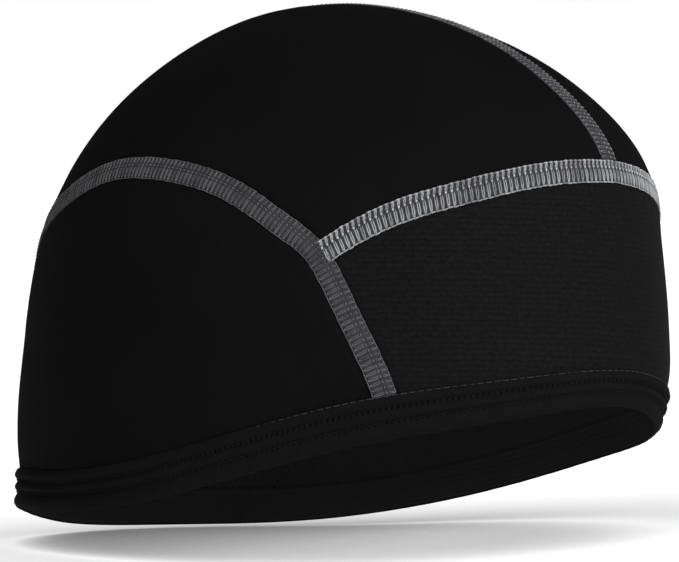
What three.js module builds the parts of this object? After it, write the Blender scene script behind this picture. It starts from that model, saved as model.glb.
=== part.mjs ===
// Helmet liner cap: a thin, close skull cap of five stretch panels, in the form that it has when worn.
// Millimetres, +Z up. The brow faces -Y and the wearer's right is -X. The origin is the place inside
// the top of the crown where the head carries the cap, so the whole cap lies round and below it.
import * as THREE from 'three';

// Driving sizes of the worn form, measured at the brow level unless the name says otherwise
const frontReach = 107.6;
const backReach = 91.6;
const halfBreadth = 81.6;
const crownRise = 95.2;
const hemDrop = 53.4;

// Cloth, seams and binding
const clothThickness = 1.4;
const seamWidth = 6.4;
const seamRaise = 0.45;
const seamEdgeRaise = 0.2;
const bandHeight = 12.7;
const bandProud = 1.3;
const bandThickness = 3.2;
const pieceGap = 0.35;

// How the horizontal sections differ from plain ellipses, as shares of their size
const backFullness = 0.028;
const crownFullness = 0.018;
const cornerFullness = 0.011;

// Rise is a height angle: 0 at the brow, 90 at the top of the crown. Each row gives the section's
// reach as shares of frontReach, halfBreadth and backReach. Above the brow a cosine closes the crown.
const sectionRows = [
  { rise: -25, front: 0.913, side: 0.912, back: 1.075 },
  { rise: -12, front: 1.005, side: 0.980, back: 1.046 },
  { rise: 0, front: 1.000, side: 1.000, back: 1.000 },
  { rise: 15, front: 1.010, side: 1.011, back: 0.974 },
  { rise: 30, front: 1.071, side: 1.028, back: 0.953 },
  { rise: 45, front: 1.071, side: 1.032, back: 0.922 },
  { rise: 60, front: 1.057, side: 1.007, back: 0.884 },
  { rise: 75, front: 1.017, side: 0.973, back: 0.849 },
  { rise: 90, front: 0.993, side: 0.936, back: 0.819 },
];

// The hem's lower edge, from the middle of the brow (turn 0) round to the nape (turn 180): its depth
// below the brow level as a share of hemDrop on each side, and the band's height as a share of bandHeight.
const hemRows = [
  { turn: 0, right: 0.474, left: 0.474, band: 0.82 },
  { turn: 30, right: 0.568, left: 0.583, band: 0.93 },
  { turn: 60, right: 0.729, left: 0.673, band: 1.04 },
  { turn: 90, right: 0.939, left: 0.843, band: 0.99 },
  { turn: 120, right: 0.983, left: 0.969, band: 0.89 },
  { turn: 150, right: 0.941, left: 0.998, band: 0.91 },
  { turn: 180, right: 1.000, left: 1.000, band: 0.93 },
];

// Middle line of the seam round a side panel, from its foot at the temple to its foot near the nape
const sideSeamRows = [
  { turn: 46, rise: -26 },
  { turn: 51.5, rise: -14 },
  { turn: 57, rise: -2 },
  { turn: 62.5, rise: 9 },
  { turn: 70, rise: 15.2 },
  { turn: 84, rise: 23 },
  { turn: 104, rise: 27.2 },
  { turn: 119, rise: 26 },
  { turn: 132.5, rise: 22 },
  { turn: 144, rise: 17.5 },
  { turn: 153, rise: 9.5 },
  { turn: 160, rise: -3 },
  { turn: 165, rise: -20 },
  { turn: 167.5, rise: -40 },
];

// Middle line of the seam over the forehead panel, from past the side seam to the middle of the brow
const foreheadSeamRows = [
  { turn: 66, rise: 6.5 },
  { turn: 60.6, rise: 10.9 },
  { turn: 50.5, rise: 16.4 },
  { turn: 38, rise: 20.3 },
  { turn: 24.7, rise: 23.4 },
  { turn: 12, rise: 25.1 },
  { turn: 0, rise: 25.7 },
];

// The binding's outer face from its top edge down: depth as a share of the band's height, and how far
// it stands proud as a share of bandProud. The two dips are the rows of cover stitch.
const bandRows = [
  { depth: 0, proud: 0.05 },
  { depth: 0.07, proud: 0.50 },
  { depth: 0.22, proud: 0.72 },
  { depth: 0.33, proud: 0.48 },
  { depth: 0.46, proud: 0.86 },
  { depth: 0.60, proud: 0.62 },
  { depth: 0.76, proud: 1.00 },
  { depth: 0.90, proud: 1.00 },
  { depth: 1, proud: 0.40 },
];

const radians = THREE.MathUtils.degToRad;
const degrees = THREE.MathUtils.radToDeg;
const topRise = degrees(Math.PI / 2);
const pathSamples = 240;

// Natural cubic curve through rows, from one named column to another
function smoothColumn(rows, key, column) {
  const x = rows.map((row) => row[key]);
  const y = rows.map((row) => row[column]);
  const count = x.length;
  const bend = new Array(count).fill(0);
  const carry = new Array(count).fill(0);
  for (let i = 1; i < count - 1; i += 1) {
    const before = x[i] - x[i - 1];
    const after = x[i + 1] - x[i];
    const share = before / (before + after);
    const pivot = share * bend[i - 1] + 2;
    const slopeChange = (y[i + 1] - y[i]) / after - (y[i] - y[i - 1]) / before;
    bend[i] = (share - 1) / pivot;
    carry[i] = ((6 * slopeChange) / (before + after) - share * carry[i - 1]) / pivot;
  }
  const second = new Array(count).fill(0);
  for (let i = count - 2; i > 0; i -= 1) {
    second[i] = bend[i] * second[i + 1] + carry[i];
  }
  return (at) => {
    let i = 0;
    while (i < count - 2 && at > x[i + 1]) i += 1;
    const width = x[i + 1] - x[i];
    const left = (x[i + 1] - at) / width;
    const right = 1 - left;
    const curl = (left ** 3 - left) * second[i] + (right ** 3 - right) * second[i + 1];
    return left * y[i] + right * y[i + 1] + (curl * width * width) / 6;
  };
}

const frontShare = smoothColumn(sectionRows, 'rise', 'front');
const sideShare = smoothColumn(sectionRows, 'rise', 'side');
const backShare = smoothColumn(sectionRows, 'rise', 'back');

// Outer face of the cloth at a turn and a rise, both in degrees
function skinPoint(turn, rise) {
  const level = Math.sin(radians(rise));
  const closing = rise > 0 ? Math.cos(radians(rise)) : 1;
  const front = frontReach * frontShare(rise) * closing;
  const side = halfBreadth * sideShare(rise) * closing;
  const back = backReach * backShare(rise) * closing;
  const ahead = Math.cos(radians(turn));
  const across = Math.sin(radians(turn));
  const corner = Math.sin(2 * radians(turn)) ** 2;
  const fullness = 1 + (crownFullness * level - cornerFullness * ahead) * corner;
  const x = -side * across * (1 - backFullness * ahead) * fullness;
  const y = -(((front + back) / 2) * ahead * fullness + (front - back) / 2);
  return new THREE.Vector3(x, y, crownRise * (level - 1) + clothThickness);
}

// A flat map of the cap, seen from above: a grows to the wearer's right, b to the front, and the
// distance from the middle is the angle down from the top of the crown.
function mapPoint(turn, rise) {
  const reach = topRise - rise;
  return new THREE.Vector2(reach * Math.sin(radians(turn)), reach * Math.cos(radians(turn)));
}

function skinAt(place) {
  return skinPoint(degrees(Math.atan2(place.x, place.y)), topRise - place.length());
}

// Point, the two directions of the map and the outward normal at a place on the map
function frameAt(place) {
  const step = 0.05;
  const along = (da, db) => skinAt(new THREE.Vector2(place.x + da, place.y + db));
  const right = along(step, 0).sub(along(-step, 0)).divideScalar(2 * step);
  const ahead = along(0, step).sub(along(0, -step)).divideScalar(2 * step);
  const normal = new THREE.Vector3().crossVectors(right, ahead).normalize();
  return { point: skinAt(place), right, ahead, normal };
}

// Place moved by a real distance across the cloth, to the left of the way the path runs
function movedPlace(place, heading, distance) {
  const { right, ahead, normal } = frameAt(place);
  const travel = right.clone().multiplyScalar(heading.x).addScaledVector(ahead, heading.y);
  const aside = new THREE.Vector3().crossVectors(normal, travel).normalize().multiplyScalar(distance);
  const rr = right.dot(right);
  const ra = right.dot(ahead);
  const aa = ahead.dot(ahead);
  const sr = aside.dot(right);
  const sa = aside.dot(ahead);
  const scale = rr * aa - ra * ra;
  return new THREE.Vector2(place.x + (sr * aa - sa * ra) / scale, place.y + (sa * rr - sr * ra) / scale);
}

function offsetPath(path, distance) {
  return path.map((place, i) => {
    const before = path[Math.max(i - 1, 0)];
    const after = path[Math.min(i + 1, path.length - 1)];
    return movedPlace(place, after.clone().sub(before), distance);
  });
}

// Position of a place between two samples of a path
function placeOn(path, at) {
  const i = Math.min(Math.floor(at), path.length - 2);
  return path[i].clone().lerp(path[i + 1], at - i);
}

// Where two paths on the map cross, as a position along each
function crossing(first, second) {
  for (let i = 0; i < first.length - 1; i += 1) {
    const run = first[i + 1].clone().sub(first[i]);
    for (let j = 0; j < second.length - 1; j += 1) {
      const other = second[j + 1].clone().sub(second[j]);
      const between = second[j].clone().sub(first[i]);
      const turned = run.cross(other);
      const onFirst = between.cross(other) / turned;
      const onSecond = between.cross(run) / turned;
      if (onFirst >= 0 && onFirst <= 1 && onSecond >= 0 && onSecond <= 1) {
        return { first: i + onFirst, second: j + onSecond };
      }
    }
  }
  throw new Error('two edges of the pattern do not meet');
}

// A stretch of a path between two positions, in equal steps of real length
function stretch(path, from, to, steps) {
  const fine = 400;
  const places = Array.from({ length: fine + 1 }, (unused, i) =>
    placeOn(path, from + ((to - from) * i) / fine));
  const lengths = [0];
  for (let i = 1; i <= fine; i += 1) {
    lengths.push(lengths[i - 1] + skinAt(places[i]).distanceTo(skinAt(places[i - 1])));
  }
  const result = [];
  let i = 0;
  for (let k = 0; k <= steps; k += 1) {
    const wanted = (lengths[fine] * k) / steps;
    while (i < fine - 1 && lengths[i + 1] < wanted) i += 1;
    const share = (wanted - lengths[i]) / (lengths[i + 1] - lengths[i]);
    result.push(places[i].clone().lerp(places[i + 1], share));
  }
  return result;
}

function pathFromRows(rows) {
  const counted = rows.map((row, i) => ({ ...row, i }));
  const turn = smoothColumn(counted, 'i', 'turn');
  const rise = smoothColumn(counted, 'i', 'rise');
  const last = rows.length - 1;
  return Array.from({ length: pathSamples + 1 }, (unused, k) => {
    const at = (last * k) / pathSamples;
    return mapPoint(turn(at), rise(at));
  });
}

// The hem, from turn -180 to 180. Rows past both ends let the curve close smoothly at the nape.
const hemTable = [];
for (const row of hemRows.slice(-3, -1)) {
  hemTable.push({ turn: row.turn - 360, drop: row.right, band: row.band });
}
for (const row of [...hemRows].reverse()) {
  hemTable.push({ turn: -row.turn, drop: row.left, band: row.band });
}
for (const row of hemRows.slice(1)) {
  hemTable.push({ turn: row.turn, drop: row.right, band: row.band });
}
for (const row of hemRows.slice(-3, -1).reverse()) {
  hemTable.push({ turn: 360 - row.turn, drop: row.left, band: row.band });
}
const hemShare = smoothColumn(hemTable, 'turn', 'drop');
const bandShare = smoothColumn(hemTable, 'turn', 'band');

// Rise of a level that lies a real height above the hem's lower edge
function riseAboveHem(turn, lift) {
  return degrees(Math.asin((lift - hemDrop * hemShare(turn)) / crownRise));
}

function hemPath(fromTurn, toTurn, lift) {
  return Array.from({ length: pathSamples + 1 }, (unused, k) => {
    const turn = fromTurn + ((toTurn - fromTurn) * k) / pathSamples;
    return mapPoint(turn, riseAboveHem(turn, bandHeight * bandShare(turn) + lift));
  });
}

// Grid of places filled in between four edges that share their corners
function patch(bottom, top, left, right) {
  const columns = bottom.length - 1;
  const rows = left.length - 1;
  const blend = (a, b, share) => a.clone().lerp(b, share);
  const grid = [];
  for (let j = 0; j <= rows; j += 1) {
    const v = j / rows;
    const line = [];
    for (let i = 0; i <= columns; i += 1) {
      const u = i / columns;
      const across = blend(left[j], right[j], u);
      const upward = blend(bottom[i], top[i], v);
      const corners = blend(blend(bottom[0], bottom[columns], u), blend(top[0], top[columns], u), v);
      line.push(across.add(upward).sub(corners));
    }
    grid.push(line);
  }
  return grid;
}

// Closed wall of cloth over a grid of places. Raise lifts the outer face of each line of the grid.
function clothGeometry(grid, raise = () => 0) {
  const rows = grid.length;
  const columns = grid[0].length;
  const turnedOver = signedArea(grid) < 0;
  const lines = turnedOver ? grid.map((line) => [...line].reverse()) : grid;
  const positions = [];
  for (const face of ['outer', 'inner']) {
    lines.forEach((line, j) => {
      for (const place of line) {
        const { point, normal } = frameAt(place);
        const depth = face === 'outer' ? -raise(j / (rows - 1)) : clothThickness;
        point.addScaledVector(normal, -depth);
        positions.push(point.x, point.y, point.z);
      }
    });
  }
  const index = [];
  const outer = (j, i) => j * columns + i;
  const inner = (j, i) => rows * columns + outer(j, i);
  const quad = (a, b, c, d) => index.push(a, b, c, a, c, d);
  for (let j = 0; j < rows - 1; j += 1) {
    for (let i = 0; i < columns - 1; i += 1) {
      quad(outer(j, i), outer(j, i + 1), outer(j + 1, i + 1), outer(j + 1, i));
      quad(inner(j, i), inner(j + 1, i), inner(j + 1, i + 1), inner(j, i + 1));
    }
  }
  for (let i = 0; i < columns - 1; i += 1) {
    quad(outer(0, i), inner(0, i), inner(0, i + 1), outer(0, i + 1));
    quad(outer(rows - 1, i), outer(rows - 1, i + 1), inner(rows - 1, i + 1), inner(rows - 1, i));
  }
  for (let j = 0; j < rows - 1; j += 1) {
    quad(outer(j, 0), outer(j + 1, 0), inner(j + 1, 0), inner(j, 0));
    quad(outer(j, columns - 1), inner(j, columns - 1), inner(j + 1, columns - 1), outer(j + 1, columns - 1));
  }
  return closedGeometry(positions, index);
}

// Twice the area inside the grid's border on the map, positive when it runs anticlockwise from outside
function signedArea(grid) {
  const first = grid[0];
  const last = grid[grid.length - 1];
  const sides = grid.slice(1, -1);
  const border = [...first, ...sides.map((line) => line[line.length - 1]), ...[...last].reverse()];
  border.push(...sides.map((line) => line[0]).reverse());
  return border.reduce((sum, place, i) => sum + place.cross(border[(i + 1) % border.length]), 0);
}

function closedGeometry(positions, index) {
  const geometry = new THREE.BufferGeometry();
  geometry.setAttribute('position', new THREE.Float32BufferAttribute(positions, 3));
  geometry.setIndex(index);
  geometry.computeVertexNormals();
  return geometry;
}

// Seam lines. Sides are 1 for the wearer's right and -1 for the left.
const halfSeam = seamWidth / 2;
const clearOfSeam = halfSeam + pieceGap;
const mirrored = (path, side) => path.map((place) => new THREE.Vector2(side * place.x, place.y));
const sideSeamPath = pathFromRows(sideSeamRows);
const foreheadHalf = pathFromRows(foreheadSeamRows);
const foreheadPath = [...foreheadHalf, ...mirrored(foreheadHalf, -1).reverse().slice(1)];
const middlePath = Array.from({ length: pathSamples + 1 }, (unused, k) => {
  const browReach = topRise - foreheadSeamRows[foreheadSeamRows.length - 1].rise;
  const napeReach = topRise - sideSeamRows[sideSeamRows.length - 1].rise;
  return new THREE.Vector2(0, browReach - ((browReach + napeReach) * k) / pathSamples);
});

// Edges of the side seam on one side: a positive distance is towards the side panel
function besideSideSeam(side, distance) {
  return offsetPath(mirrored(sideSeamPath, side), side * distance);
}

// Edges beside the forehead seam: a positive distance is towards the crown
function besideForeheadSeam(distance) {
  return offsetPath(foreheadPath, distance);
}

// Edges beside the crown seam, on the given side
function besideCrownSeam(side, distance) {
  return offsetPath(middlePath, side * distance);
}

const hemEdge = (side) => hemPath(0, side * 180, pieceGap);

// Panels
function sidePanel(side) {
  const arch = besideSideSeam(side, clearOfSeam);
  const hem = hemEdge(side);
  const temple = crossing(arch.slice(0, pathSamples / 2), hem);
  const nape = crossing(arch.slice(pathSamples / 2), hem);
  const start = temple.first;
  const end = nape.first + pathSamples / 2;
  const legShare = 0.27;
  const leg = legShare * (end - start);
  const columns = 22;
  const rows = 9;
  return patch(
    stretch(hem, temple.second, nape.second, columns),
    stretch(arch, start + leg, end - leg, columns),
    stretch(arch, start, start + leg, rows),
    stretch(arch, end, end - leg, rows),
  );
}

function foreheadPanel() {
  const top = besideForeheadSeam(-clearOfSeam);
  const hem = hemPath(180, -180, pieceGap);
  const columns = 28;
  const rows = 7;
  const corners = [1, -1].map((side) => {
    const edge = besideSideSeam(side, -clearOfSeam).slice(0, pathSamples / 2);
    return { edge, low: crossing(edge, hem), high: crossing(edge, top) };
  });
  const [right, left] = corners;
  return patch(
    stretch(hem, right.low.second, left.low.second, columns),
    stretch(top, right.high.second, left.high.second, columns),
    stretch(right.edge, right.low.first, right.high.first, rows),
    stretch(left.edge, left.low.first, left.high.first, rows),
  );
}

function crownPanel(side) {
  const outer = besideSideSeam(side, -clearOfSeam);
  const front = besideForeheadSeam(clearOfSeam);
  const middle = besideCrownSeam(side, clearOfSeam);
  const hem = hemEdge(side);
  const temple = crossing(outer, front);
  const brow = crossing(middle, front);
  const outerNape = crossing(outer.slice(pathSamples / 2), hem);
  const middleNape = crossing(middle, hem);
  const columns = 28;
  const rows = 10;
  return patch(
    stretch(outer, temple.first, outerNape.first + pathSamples / 2, columns),
    stretch(middle, brow.first, middleNape.first, columns),
    stretch(front, temple.second, brow.second, rows),
    stretch(hem, outerNape.second, middleNape.second, rows),
  );
}

// A flat covering seam, as a strip between its two edges with a low crown across it
function seamGrid(firstEdge, secondEdge) {
  const across = 3;
  return Array.from({ length: across + 1 }, (unused, j) =>
    firstEdge.map((place, i) => place.clone().lerp(secondEdge[i], j / across)));
}

function seamRaiseAt(share) {
  return seamEdgeRaise + (seamRaise - seamEdgeRaise) * Math.sin(Math.PI * share);
}

function sideSeam(side) {
  const steps = 48;
  const edges = [halfSeam, -halfSeam].map((distance) => {
    const edge = besideSideSeam(side, distance);
    const hem = hemEdge(side);
    const start = crossing(edge.slice(0, pathSamples / 2), hem).first;
    const end = crossing(edge.slice(pathSamples / 2), hem).first + pathSamples / 2;
    return stretch(edge, start, end, steps);
  });
  return seamGrid(edges[0], edges[1]);
}

function foreheadSeam() {
  const steps = 32;
  const ends = [1, -1].map((side) => besideSideSeam(side, -clearOfSeam));
  const edges = [-halfSeam, halfSeam].map((distance) => {
    const edge = besideForeheadSeam(distance);
    const half = Math.floor(edge.length / 2);
    const start = crossing(edge.slice(0, half), ends[0]).first;
    const end = crossing(edge.slice(half), ends[1]).first + half;
    return stretch(edge, start, end, steps);
  });
  return seamGrid(edges[0], edges[1]);
}

function crownSeam() {
  const steps = 40;
  const front = besideForeheadSeam(clearOfSeam);
  const edges = [halfSeam, -halfSeam].map((distance) => {
    const edge = offsetPath(middlePath, distance);
    const start = crossing(edge, front).first;
    const end = crossing(edge.slice(pathSamples / 2), hemPath(120, 240, pieceGap)).first + pathSamples / 2;
    return stretch(edge, start, end, steps);
  });
  return seamGrid(edges[0], edges[1]);
}

// The folded binding: its stitched outer face, its rolled lower edge and its plain inner face
function bandGeometry() {
  const around = 80;
  const innerRows = [
    { depth: 0.97, inside: 0.85 },
    { depth: 0.55, inside: 1.00 },
    { depth: 0.04, inside: 0.85 },
  ];
  const section = bandRows.map((row) => ({ depth: row.depth, out: bandProud * row.proud }));
  for (const row of innerRows) {
    section.push({ depth: row.depth, out: bandProud - bandThickness * row.inside });
  }
  const positions = [];
  for (let k = 0; k < around; k += 1) {
    const turn = 180 - (360 * k) / around;
    const height = bandHeight * bandShare(turn);
    for (const { depth, out } of section) {
      const place = mapPoint(turn, riseAboveHem(turn, height * (1 - depth)));
      const { point, normal } = frameAt(place);
      normal.setZ(0).normalize();
      point.addScaledVector(normal, out);
      positions.push(point.x, point.y, point.z);
    }
  }
  const index = [];
  const count = section.length;
  for (let k = 0; k < around; k += 1) {
    const next = (k + 1) % around;
    for (let i = 0; i < count; i += 1) {
      const j = (i + 1) % count;
      const a = k * count + i;
      const b = k * count + j;
      const c = next * count + j;
      const d = next * count + i;
      index.push(a, b, c, a, c, d);
    }
  }
  return closedGeometry(positions, index);
}

// Materials
const smoothKnit = { color: 0x141416, roughness: 0.88, metalness: 0 };
const ribbedKnit = { color: 0x1b1c1f, roughness: 0.92, metalness: 0 };
const seamThread = { color: 0x4c4e52, roughness: 0.8, metalness: 0 };
const bindingKnit = { color: 0x1a1b1d, roughness: 0.85, metalness: 0 };

function namedMesh(name, geometry, look) {
  const mesh = new THREE.Mesh(geometry, new THREE.MeshStandardMaterial({ ...look, name }));
  mesh.name = name;
  return mesh;
}

const cap = new THREE.Group();
cap.name = 'helmet_liner_cap';
for (const [side, word] of [[1, 'right'], [-1, 'left']]) {
  cap.add(namedMesh(`crown_${word}`, clothGeometry(crownPanel(side)), smoothKnit));
  cap.add(namedMesh(`side_${word}`, clothGeometry(sidePanel(side)), smoothKnit));
  cap.add(namedMesh(`side_seam_${word}`, clothGeometry(sideSeam(side), seamRaiseAt), seamThread));
}
cap.add(namedMesh('forehead_panel', clothGeometry(foreheadPanel()), ribbedKnit));
cap.add(namedMesh('forehead_seam', clothGeometry(foreheadSeam(), seamRaiseAt), seamThread));
cap.add(namedMesh('crown_seam', clothGeometry(crownSeam(), seamRaiseAt), seamThread));
cap.add(namedMesh('hem_band', bandGeometry(), bindingKnit));

export default cap;
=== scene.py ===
# Helmet liner cap: knit panels, flat covering seams, folded binding and thread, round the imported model
# Metres, +Z up, the brow towards -Y, the wearer's right towards -X
import math

import bpy
import numpy as np
from mathutils import Matrix, Vector


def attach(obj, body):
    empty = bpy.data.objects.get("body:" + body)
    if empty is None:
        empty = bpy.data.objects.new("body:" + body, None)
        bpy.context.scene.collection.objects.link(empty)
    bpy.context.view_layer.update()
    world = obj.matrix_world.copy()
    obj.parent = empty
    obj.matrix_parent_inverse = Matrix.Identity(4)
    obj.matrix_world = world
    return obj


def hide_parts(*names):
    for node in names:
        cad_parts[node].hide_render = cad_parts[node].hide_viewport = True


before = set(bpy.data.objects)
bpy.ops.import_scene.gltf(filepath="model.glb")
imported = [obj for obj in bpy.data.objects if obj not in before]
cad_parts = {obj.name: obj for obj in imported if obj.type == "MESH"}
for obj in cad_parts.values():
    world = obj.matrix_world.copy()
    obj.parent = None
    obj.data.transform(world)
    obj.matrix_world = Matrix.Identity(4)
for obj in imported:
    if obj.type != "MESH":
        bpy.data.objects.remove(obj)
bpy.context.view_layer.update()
print("frame loaded:", len(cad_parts), "nodes")

# Form of the cap, the same named sizes as the solids

form = {
    "frontReach": 0.1076,
    "backReach": 0.0916,
    "halfBreadth": 0.0816,
    "crownRise": 0.0952,
    "hemDrop": 0.0534,
    "backFullness": 0.028,
    "crownFullness": 0.018,
    "cornerFullness": 0.011,
    "cloth": 0.0014,
    "seamWidth": 0.0064,
    "pathSamples": 480,
}

# rise in degrees above the brow level, then the reach as shares: front, side, back
sectionRows = [
    (-25, 0.913, 0.912, 1.075),
    (-12, 1.005, 0.980, 1.046),
    (0, 1.000, 1.000, 1.000),
    (15, 1.010, 1.011, 0.974),
    (30, 1.071, 1.028, 0.953),
    (45, 1.071, 1.032, 0.922),
    (60, 1.057, 1.007, 0.884),
    (75, 1.017, 0.973, 0.849),
    (90, 0.993, 0.936, 0.819),
]

# turn from the middle of the brow, then the hem's drop on the right and on the left, and the band's height
hemRows = [
    (0, 0.474, 0.474, 0.82),
    (30, 0.568, 0.583, 0.93),
    (60, 0.729, 0.673, 1.04),
    (90, 0.939, 0.843, 0.99),
    (120, 0.983, 0.969, 0.89),
    (150, 0.941, 0.998, 0.91),
    (180, 1.000, 1.000, 0.93),
]

# turn and rise along the middle of the seam round a side panel, temple to nape
sideSeamRows = [
    (46, -26),
    (51.5, -14),
    (57, -2),
    (62.5, 9),
    (70, 15.2),
    (84, 23),
    (104, 27.2),
    (119, 26),
    (132.5, 22),
    (144, 17.5),
    (153, 9.5),
    (160, -3),
    (165, -20),
    (167.5, -40),
]

# turn and rise along the seam over the forehead panel, from past the side seam to the middle
foreheadSeamRows = [(66, 6.5), (60.6, 10.9), (50.5, 16.4), (38, 20.3), (24.7, 23.4), (12, 25.1), (0, 25.7)]


def naturalCurve(x, y):
    # smooth curve through points, with straight ends
    x = np.asarray(x, float)
    y = np.asarray(y, float)
    count = len(x)
    gap = np.diff(x)
    system = np.zeros((count, count))
    wanted = np.zeros(count)
    system[0, 0] = system[-1, -1] = 1
    for i in range(1, count - 1):
        system[i, i - 1 : i + 2] = gap[i - 1], 2 * (gap[i - 1] + gap[i]), gap[i]
        wanted[i] = 6 * ((y[i + 1] - y[i]) / gap[i] - (y[i] - y[i - 1]) / gap[i - 1])
    second = np.linalg.solve(system, wanted)

    def at(value):
        value = np.asarray(value, float)
        i = np.clip(np.searchsorted(x, value) - 1, 0, count - 2)
        left = (x[i + 1] - value) / gap[i]
        right = 1 - left
        curl = (left**3 - left) * second[i] + (right**3 - right) * second[i + 1]
        return left * y[i] + right * y[i + 1] + curl * gap[i] ** 2 / 6

    return at


sectionColumns = list(zip(*sectionRows))
frontShare, sideShare, backShare = (naturalCurve(sectionColumns[0], c) for c in sectionColumns[1:])

hemTable = [(r[0] - 360, r[1], r[3]) for r in hemRows[-3:-1]]
hemTable += [(-r[0], r[2], r[3]) for r in reversed(hemRows)]
hemTable += [(r[0], r[1], r[3]) for r in hemRows[1:]]
hemTable += [(360 - r[0], r[2], r[3]) for r in reversed(hemRows[-3:-1])]
hemColumns = list(zip(*hemTable))
hemShare = naturalCurve(hemColumns[0], hemColumns[1])
bandShare = naturalCurve(hemColumns[0], hemColumns[2])


def skin(turn, rise):
    # outer face of the cloth at a turn and a rise in degrees
    level = np.sin(np.radians(rise))
    closing = np.where(np.asarray(rise) > 0, np.cos(np.radians(rise)), 1.0)
    front = form["frontReach"] * frontShare(rise) * closing
    side = form["halfBreadth"] * sideShare(rise) * closing
    back = form["backReach"] * backShare(rise) * closing
    ahead = np.cos(np.radians(turn))
    across = np.sin(np.radians(turn))
    corner = np.sin(2 * np.radians(turn)) ** 2
    fullness = 1 + (form["crownFullness"] * level - form["cornerFullness"] * ahead) * corner
    x = -side * across * (1 - form["backFullness"] * ahead) * fullness
    y = -((front + back) / 2 * ahead * fullness + (front - back) / 2)
    z = form["crownRise"] * (level - 1) + form["cloth"]
    return np.stack([x, y, z], -1)


def place(turn, rise):
    # the flat map of the cap, seen from above: the distance from the middle is the angle down from the top
    reach = 90 - np.asarray(rise, float)
    return np.stack([reach * np.sin(np.radians(turn)), reach * np.cos(np.radians(turn))], -1)


def turnRise(places):
    turn = np.degrees(np.arctan2(places[..., 0], places[..., 1]))
    return turn, 90 - np.linalg.norm(places, axis=-1)


def skinAt(places):
    return skin(*turnRise(places))


def frameAt(places):
    # point, the two directions of the map, and the outward normal
    step = 0.05
    right = (skinAt(places + [step, 0]) - skinAt(places - [step, 0])) / (2 * step)
    ahead = (skinAt(places + [0, step]) - skinAt(places - [0, step])) / (2 * step)
    normal = np.cross(right, ahead)
    normal /= np.linalg.norm(normal, axis=-1, keepdims=True)
    return skinAt(places), right, ahead, normal


def offsetPath(path, distance):
    # the path moved by a real distance across the cloth, to the left of the way it runs
    heading = np.empty_like(path)
    heading[1:-1] = path[2:] - path[:-2]
    heading[0] = path[1] - path[0]
    heading[-1] = path[-1] - path[-2]
    point, right, ahead, normal = frameAt(path)
    travel = right * heading[:, :1] + ahead * heading[:, 1:]
    aside = np.cross(normal, travel)
    aside *= distance / np.linalg.norm(aside, axis=-1, keepdims=True)
    # the step on the map whose two shares of the map's directions make up that distance
    rightSize = (right * right).sum(-1)
    shared = (right * ahead).sum(-1)
    aheadSize = (ahead * ahead).sum(-1)
    toRight = (aside * right).sum(-1)
    toAhead = (aside * ahead).sum(-1)
    scale = rightSize * aheadSize - shared * shared
    onRight = (toRight * aheadSize - toAhead * shared) / scale
    onAhead = (toAhead * rightSize - toRight * shared) / scale
    return path + np.stack([onRight, onAhead], -1)


def crossing(first, second):
    # where two paths on the map cross, as a position along each
    run = np.diff(first, axis=0)[:, None]
    other = np.diff(second, axis=0)[None]
    between = second[:-1][None] - first[:-1][:, None]
    turned = run[..., 0] * other[..., 1] - run[..., 1] * other[..., 0]
    onFirst = (between[..., 0] * other[..., 1] - between[..., 1] * other[..., 0]) / turned
    onSecond = (between[..., 0] * run[..., 1] - between[..., 1] * run[..., 0]) / turned
    hits = np.argwhere((onFirst >= 0) & (onFirst <= 1) & (onSecond >= 0) & (onSecond <= 1))
    i, j = hits[0]
    return i + onFirst[i, j], j + onSecond[i, j]


def placeOn(path, at):
    at = np.asarray(at, float)
    i = np.clip(at.astype(int), 0, len(path) - 2)
    share = (at - i)[..., None]
    return path[i] * (1 - share) + path[i + 1] * share


def stretch(path, start, end, steps):
    # a stretch of a path in equal steps of real length
    at = np.linspace(start, end, 1500)
    points = skinAt(placeOn(path, at))
    lengths = np.concatenate([[0], np.cumsum(np.linalg.norm(np.diff(points, axis=0), axis=1))])
    return placeOn(path, np.interp(np.linspace(0, lengths[-1], steps + 1), lengths, at))


def pathLength(places):
    return float(np.linalg.norm(np.diff(skinAt(places), axis=0), axis=1).sum())


def pathFromRows(rows):
    at = np.linspace(0, len(rows) - 1, form["pathSamples"] + 1)
    turn, rise = (naturalCurve(range(len(rows)), column)(at) for column in zip(*rows))
    return place(turn, rise)


def riseAboveHem(turn, lift):
    return np.degrees(np.arcsin((lift - form["hemDrop"] * hemShare(turn)) / form["crownRise"]))


band = {
    "height": 0.0127,
    "proud": 0.0013,
    "thickness": 0.0032,
    "tuck": 0.0016,  # how far panels and seams run down behind the band's top edge
    "around": 1440,
    "outRows": 40,
    "lipAt": 0.965,  # where the outer face ends and the lip rolls under, as a share of the height
    "stitchPitch": 0.0017,
    "stitchRows": (0.30, 0.60),
    "rowWidth": 0.045,
    "groove": 0.00012,
    "dent": 0.00075,
    "ripplePitch": 0.0071,
    "ripple": 0.00007,
}


def hemPath(fromTurn, toTurn, lift):
    turn = np.linspace(fromTurn, toTurn, form["pathSamples"] + 1)
    return place(turn, riseAboveHem(turn, band["height"] * bandShare(turn) + lift))


halfSeam = form["seamWidth"] / 2
half = form["pathSamples"] // 2
sideSeamPath = pathFromRows(sideSeamRows)
foreheadHalf = pathFromRows(foreheadSeamRows)
foreheadPath = np.concatenate([foreheadHalf, (foreheadHalf * [-1, 1])[::-1][1:]])
browReach = 90 - foreheadSeamRows[-1][1]
napeReach = 90 - sideSeamRows[-1][1]
middleReach = np.linspace(browReach, -napeReach, form["pathSamples"] + 1)
middlePath = np.stack([np.zeros_like(middleReach), middleReach], -1)


def besideSideSeam(side, distance):
    return offsetPath(sideSeamPath * [side, 1], side * distance)


def besideForeheadSeam(distance):
    return offsetPath(foreheadPath, distance)


def besideCrownSeam(side, distance):
    return offsetPath(middlePath, side * distance)


def hemEdge(side):
    return hemPath(0, side * 180, -band["tuck"])


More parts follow.
